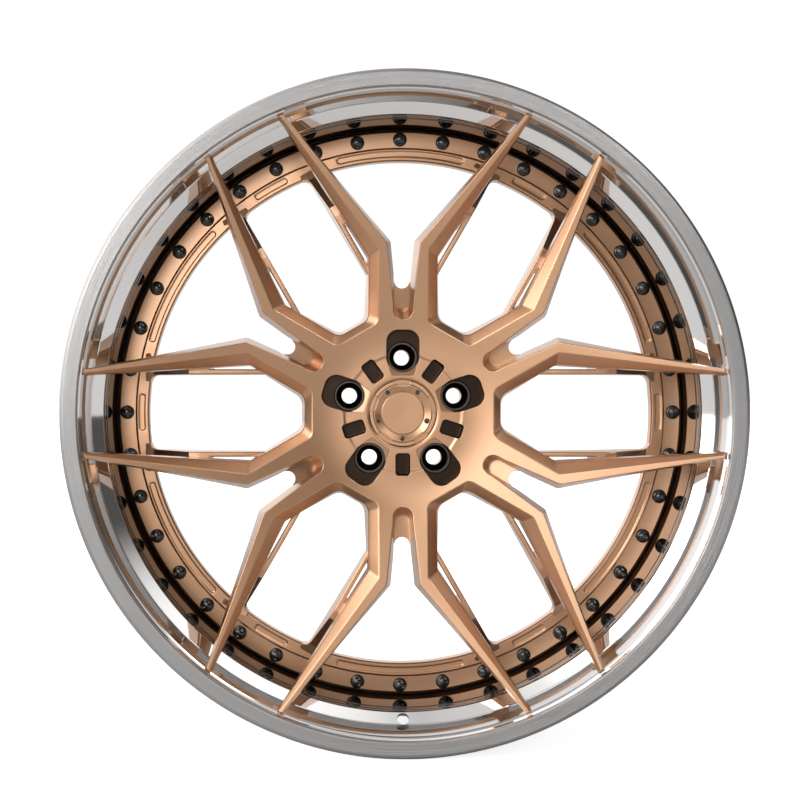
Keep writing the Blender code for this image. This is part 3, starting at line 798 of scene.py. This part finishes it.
def barrel_seal():
    """Hand-laid bead of sealant: the profile's outer side swells and thins along the turn."""
    steps = 360
    t = np.arange(steps) * math.tau / steps
    swell = 0.25 * np.sin(9 * t + 0.6) + 0.18 * np.sin(23 * t + 1.9) + 0.1 * np.sin(57 * t)
    profile = profile_loop([(290.9, -18.6, 0.1), (292.9, -18.6, 0.2), (294.2, -20.8, 1.2),
                            (293.4, -24.3, 1.2), (290.9, -26.8, 0.1)], 3.0)
    rows = []
    for r, h in profile:
        grown = r + swell * np.clip((r - 290.9) / 3.0, 0.0, 1.0)
        rows.append(np.stack([grown * np.cos(t), grown * np.sin(t), np.full(steps, h)], 1))
    body = Body()
    body.grid(rows, close_rows=True)
    return add_piece("sealant_bead", body.mesh("barrel_seal"), SEALANT, ["barrel_seal"])


def twelve_point(t, flat, depth=1.0):
    """Radius of two crossed hexagons, flat / cos(angle from the nearest flat), eased towards
    a circle as depth falls to 0."""
    best = 0.0
    for shift in (0.0, math.pi / 6.0):
        local = (t + shift) % (math.pi / 3.0) - math.pi / 6.0
        best = np.maximum(best, flat / np.cos(local))
    return depth * best + (1.0 - depth) * flat * 1.06


def rim_bolts():
    """Forty twelve-point flange bolts, each with a stub of shank and a flange nut behind."""
    steps = 48
    t = np.arange(steps) * math.tau / steps
    head = [(3.9, 0.3, 0), (6.7, 0.3, 0), (7.0, 0.6, 0), (7.0, 1.3, 0), (6.7, 1.75, 0), (6.0, 2.15, 0),
            (5.5, 2.5, 0.2), (4.62, 2.75, 0.6), (4.6, 3.1, 1), (4.6, 5.6, 1), (4.4, 5.9, 0.85),
            (3.9, 6.25, 0.5), (3.3, 6.52, 0.2), (2.7, 6.72, 0), (2.1, 6.86, 0), (1.5, 6.95, 0), (0.9, 7.0, 0),
            (0.3, 7.02, 0)]
    nut = [(4.1, -24.9, 0), (6.5, -24.9, 0), (6.6, -25.4, 0), (6.3, -26.2, 0), (5.3, -26.8, 0.5),
           (5.2, -27.2, 1), (5.2, -30.8, 1), (5.0, -31.5, 0.7), (4.5, -31.9, 0.1), (4.1, -31.7, 0)]
    one = Body()
    for profile, end in ((head, 7.02), (nut, None)):
        rows = []
        for r, h, depth in profile:
            reach = twelve_point(t, r, depth) if depth else np.full(steps, r)
            rows.append(np.stack([reach * np.cos(t), reach * np.sin(t), np.full(steps, h)], 1))
        start = one.count
        one.grid(rows, close_rows=end is None)
        if end is not None:
            last = start + (len(rows) - 1) * steps
            one.faces.append(list(range(last, last + steps)))
            one.faces.append(list(range(start, start + steps))[::-1])
    shank = [(0.02, -32.6), (3.2, -32.6), (3.9, -31.9), (3.9, 0.3), (0.02, 0.3)]
    start = one.count
    one.grid([lifted(ring_points(r, 24), h) for r, h in shank])
    one.faces.append(list(range(start, start + 24)))
    one.faces.append(list(range(start + 96, start + 120)))
    points, faces = np.vstack(one.points), one.faces
    for i in range(BOLTS):
        angle = math.radians(90.0) + i * math.tau / BOLTS
        twist = angle + GOLDEN_TURN * i
        body = Body()
        centre = (BOLT_CIRCLE_R * math.cos(angle), BOLT_CIRCLE_R * math.sin(angle), 0.0)
        body.add(turned_by(points, twist) + centre, [])
        body.faces = faces
        name = f"rim_bolt_{i + 1:02d}"
        add_piece(f"flange_bolt_{i + 1:02d}", body.mesh(name), BLACK, [name], sharp=38.0)


# ---------------------------------------------------------------- hub pieces
def moved_turn(profile, steps, centre, closed=True):
    body = Body()
    body.grid([lifted(ring_points(r, steps, centre), h) for r, h in profile], close_rows=closed)
    return body


def lug_seats():
    """Seat cups with a cut rim and a conical nut seat."""
    profile = profile_loop([(12.7, 53.0, 0.15), (14.25, 53.0, 0.3), (14.25, 30.3, 0.3), (7.6, 30.3, 0.2),
                            (7.6, 33.0, 0.5), (12.7, 39.0, 0.8)], 4.0, 3)
    for i in range(LUGS):
        angle = math.radians(90.0) + i * math.tau / LUGS
        centre = (LUG_CIRCLE_R * math.cos(angle), LUG_CIRCLE_R * math.sin(angle))
        name = f"lug_seat_{i + 1}"
        add_piece(f"nut_seat_{i + 1}", moved_turn(profile, 72, centre).mesh(name), SEAT,
                  [name])


CAP_SCREW_R = 24.4


def cap_notches():
    """Five U-shaped cutters in line with the lugs, narrowing inwards."""
    outline = closed_half([(42.0, 0.0, 0), (42.0, 13.0, 0.5), (32.0, 9.0, 3.0), (25.5, 5.2, 3.4),
                           (25.5, 0.0, 0)], (2, 4, 4, 3), (2, 4, 6))
    one = Body()
    rows = [lifted(offset(outline, d), h) for d, h in ((0.0, 57.6), (0.0, 61.0), (0.9, 66.0))]
    one.grid(rows)
    n = len(outline)
    one.faces.append(list(range(n)))
    one.faces.append(list(range(2 * n, 3 * n)))
    body = Body()
    for k in range(LUGS):
        body.join(one, math.radians(90.0) + k * math.tau / LUGS)
    return body


def centre_cap():
    """Dished cap body, notched ring, blank disc and five tiny domed screws."""
    scallops = Body()
    for k in range(LUGS):
        angle = math.radians(-90.0) + k * math.tau / LUGS
        centre = (CAP_SCREW_R * math.cos(angle), CAP_SCREW_R * math.sin(angle))
        rows = [lifted(ring_points(r, 32, centre), h) for r, h in ((2.75, 57.2), (2.75, 60.0), (3.1, 66.0))]
        one = Body()
        one.grid(rows)
        one.faces.append(list(range(32)))
        one.faces.append(list(range(64, 96)))
        scallops.join(one)
    body = Body()
    outline = [(20.9, 57.0, 0.2), (20.9, 58.2, 0.2), (26.9, 61.4, 0.4), (27.9, 61.4, 0.3), (27.9, 55.2, 0.3),
               (32.0, 55.2, 0.2), (32.0, 52.3, 0.2), (26.2, 52.3, 0.2), (26.2, 38.0, 0.3), (24.0, 38.0, 0.3),
               (24.0, 50.0, 1.0), (0.02, 50.0, 0.005), (0.02, 57.0, 0.005)]
    body.turn(profile_loop(outline, 6.0, 3), 144)
    mesh = cut_mesh(body.mesh("cap_body"), hidden_cutter("notches", cap_notches()),
                    hidden_cutter("scallops", scallops), bevel=0.22)
    add_piece("cap_dish", mesh, BRONZE, ["cap_body"])

    ring = Body()
    ring.turn(profile_loop([(28.4, 63.4, 0.3), (31.4, 63.4, 0.5), (32.0, 62.6, 0.3), (32.0, 55.5, 0.2),
                            (28.4, 55.5, 0.2)], 3.0, 3), 180)
    mesh = cut_mesh(ring.mesh("cap_ring"), hidden_cutter("notches", cap_notches()), bevel=0.25)
    add_piece("cap_crown", mesh, BRONZE, ["cap_ring"])

    disc = Body()
    profile = rounded_path([(0.02, 57.3, 0), (20.4, 57.3, 0.2), (20.4, 58.7, 0.35), (19.8, 59.0, 0.3),
                            (0.02, 58.8, 0)], (6, 1, 1, 8), (2, 3, 2))
    disc.turn(profile, 144, closed=False)
    for row in (0, len(profile) - 1):
        disc.faces.append(list(range(row * 144, row * 144 + 144)))
    add_piece("cap_badge_blank", disc.mesh("cap_disc"), BRONZE, ["cap_disc"])

    profile = [(0.02, 57.3), (2.25, 57.3), (2.25, 59.0), (2.1, 59.4), (1.7, 59.7), (1.1, 59.85), (1.0, 59.5),
               (0.9, 58.9), (0.02, 58.8)]
    for k in range(LUGS):
        angle = math.radians(-90.0) + k * math.tau / LUGS
        centre = (CAP_SCREW_R * math.cos(angle), CAP_SCREW_R * math.sin(angle))
        one = moved_turn(profile, 30, centre, closed=False)
        for row in (0, len(profile) - 1):
            one.faces.append(list(range(row * 30, row * 30 + 30)))
        name = f"cap_screw_{k + 1}"
        add_piece(f"cap_bolt_{k + 1}", one.mesh(name), BLACK, [name])


forged_centre()
outer_lip()
inner_barrel()
barrel_seal()
rim_bolts()
lug_seats()
centre_cap()

o_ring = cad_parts["cap_o_ring"]
o_ring.data.materials.clear()
o_ring.data.materials.append(RUBBER)


# ---------------------------------------------------------------- studio
def studio_world():
    """Soft studio surround over a plain white background. Each light is a smooth lobe, given
    by its angle round the wheel's axis from +X towards +Z, its angle off the way towards the
    front, the angles where it stops being full and where it ends, and its strength."""
    world = bpy.data.worlds.new("studio")
    bpy.context.scene.world = world
    world.use_nodes = True
    tree = world.node_tree
    tree.nodes.clear()

    def add(kind, values=(), **settings):
        node = tree.nodes.new(kind)
        for key, value in settings.items():
            setattr(node, key, value)
        for key, value in values or ():
            if isinstance(value, bpy.types.NodeSocket):
                tree.links.new(value, node.inputs[key])
            else:
                node.inputs[key].default_value = value
        return node

    direction = add("ShaderNodeTexCoord").outputs["Generated"]
    total = None
    for around_deg, off_deg, inner_deg, outer_deg, strength in (
            (150.0, 15.5, 2.0, 20.0, 3.7),
            (150.0, 42.0, 3.0, 9.0, 9.0),
            (48.0, 40.0, 3.0, 9.0, 11.0),
            (162.0, 63.0, 8.0, 42.0, 2.3),
            (55.0, 68.0, 8.0, 34.0, 1.1),
            (150.0, 100.0, 10.0, 60.0, 1.3),
            (115.0, 68.0, 12.0, 40.0, 0.6),
            (140.0, 148.0, 10.0, 60.0, 1.1)):
        turn, off = math.radians(around_deg), math.radians(off_deg)
        aim = Vector((math.sin(off) * math.cos(turn), -math.cos(off), math.sin(off) * math.sin(turn)))
        dot = add("ShaderNodeVectorMath", [(0, direction), (1, aim)], operation='DOT_PRODUCT')
        lobe = add("ShaderNodeMapRange", [("Value", dot.outputs["Value"]),
                                          ("From Min", math.cos(math.radians(outer_deg))),
                                          ("From Max", math.cos(math.radians(inner_deg))),
                                          ("To Max", strength)], interpolation_type='SMOOTHSTEP')
        if total is None:
            total = add("ShaderNodeMath", [(0, lobe.outputs[0]), (1, 0.08)], operation='ADD').outputs[0]
        else:
            total = add("ShaderNodeMath", [(0, lobe.outputs[0]), (1, total)], operation='ADD').outputs[0]
    surround = add("ShaderNodeBackground", [("Color", (1.0, 0.985, 0.97, 1.0)), ("Strength", total)])
    white = add("ShaderNodeBackground", [("Color", (1, 1, 1, 1)), ("Strength", 1.05)])
    seen = add("ShaderNodeLightPath").outputs["Is Camera Ray"]
    both = add("ShaderNodeMixShader", [(0, seen), (1, surround.outputs[0]), (2, white.outputs[0])])
    add("ShaderNodeOutputWorld", [(0, both.outputs[0])])


def studio_floor():
    """Plain pale floor under the rim. Where the camera sees it directly it also glows evenly,
    so it melts into the white background and keeps a faint shadow."""
    mesh = bpy.data.meshes.new("floor")
    z = cad_bounds[0].z
    t = np.arange(64) * math.tau / 64
    mesh.from_pydata([(40 * math.cos(a), 40 * math.sin(a), z) for a in t], [], [tuple(range(64))])
    floor = bpy.data.objects.new("floor", mesh)
    bpy.context.scene.collection.objects.link(floor)
    material = bpy.data.materials.new("floor_white")
    material.use_nodes = True
    tree = material.node_tree
    tree.nodes.clear()
    seen = tree.nodes.new("ShaderNodeLightPath").outputs["Is Camera Ray"]
    both = tree.nodes.new("ShaderNodeMixShader")
    tree.links.new(seen, both.inputs[0])
    for socket, glow in ((1, 0.0), (2, 0.80)):
        shader = tree.nodes.new("ShaderNodeBsdfPrincipled")
        shader.inputs["Base Color"].default_value = (0.6, 0.6, 0.6, 1.0)
        shader.inputs["Roughness"].default_value = 0.8
        shader.inputs["Specular IOR Level"].default_value = 0.0
        shader.inputs["Emission Color"].default_value = (1.0, 1.0, 1.0, 1.0)
        shader.inputs["Emission Strength"].default_value = glow
        tree.links.new(shader.outputs[0], both.inputs[socket])
    output = tree.nodes.new("ShaderNodeOutputMaterial")
    tree.links.new(both.outputs[0], output.inputs[0])
    mesh.materials.append(material)


def studio_camera():
    camera = bpy.data.cameras.new("camera")
    camera.lens, camera.sensor_width = 55.62, 36.0
    camera.shift_x, camera.shift_y = 0.0706, -0.0096
    holder = bpy.data.objects.new("camera", camera)
    holder.location = (-0.057, FACE_Y - 1.250, 0.020)
    holder.rotation_euler = (math.radians(90.0), 0.0, 0.0)
    bpy.context.scene.collection.objects.link(holder)
    bpy.context.scene.camera = holder


studio_world()
studio_floor()
studio_camera()
bpy.context.scene.view_settings.view_transform = 'Standard'
